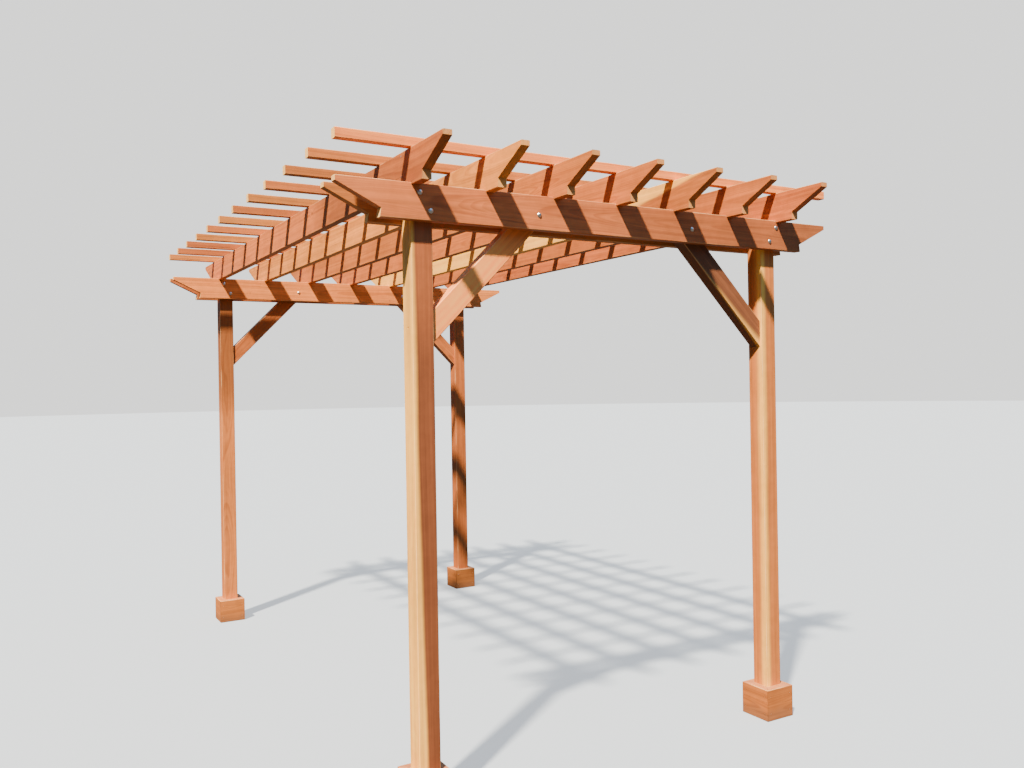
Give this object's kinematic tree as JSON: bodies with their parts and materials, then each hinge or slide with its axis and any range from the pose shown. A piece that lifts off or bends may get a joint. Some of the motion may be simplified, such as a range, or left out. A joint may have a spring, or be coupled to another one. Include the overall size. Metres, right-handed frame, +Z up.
{
  "type": "wooden pergola",
  "caption": "Free-standing stained wooden pergola: square posts in boxed skirts, double beams on knee braces, shaped rafter tails and square top slats.",
  "frame": {"origin": "on the floor, midway between the four posts", "axes": "+X along the beams towards the right, +Y along the rafters towards the back, +Z up"},
  "size_m": [2.54, 4.045, 2.57],
  "materials": {
    "post_wood": "stained, satin",
    "skirt_wood": "stained, satin",
    "beam_wood": "stained, satin",
    "rafter_wood": "stained, satin",
    "slat_wood": "stained, satin",
    "brace_wood": "stained, satin",
    "bolt_steel": "zinc plated"
  },
  "bodies": {
    "root": {"beam_back_plank_back": "beam_wood", "beam_back_plank_front": "beam_wood", "beam_front_plank_back": "beam_wood", "beam_front_plank_front": "beam_wood", "brace_back_left": "brace_wood", "brace_back_right": "brace_wood", "brace_front_left": "brace_wood", "brace_front_right": "brace_wood", "post_back_left": "post_wood", "post_back_right": "post_wood", "post_front_left": "post_wood", "post_front_right": "post_wood", "rafter_1": "rafter_wood", "rafter_2": "rafter_wood", "rafter_3": "rafter_wood", "rafter_4": "rafter_wood", "rafter_5": "rafter_wood", "rafter_6": "rafter_wood", "rafter_7": "rafter_wood", "skirt_back_left": "skirt_wood", "skirt_back_right": "skirt_wood", "skirt_front_left": "skirt_wood", "skirt_front_right": "skirt_wood", "slat_01": "slat_wood", "slat_02": "slat_wood", "slat_03": "slat_wood", "slat_04": "slat_wood", "slat_05": "slat_wood", "slat_06": "slat_wood", "slat_07": "slat_wood", "slat_08": "slat_wood", "slat_09": "slat_wood", "slat_10": "slat_wood", "slat_11": "slat_wood", "slat_12": "slat_wood"}
  },
  "joints": []
}
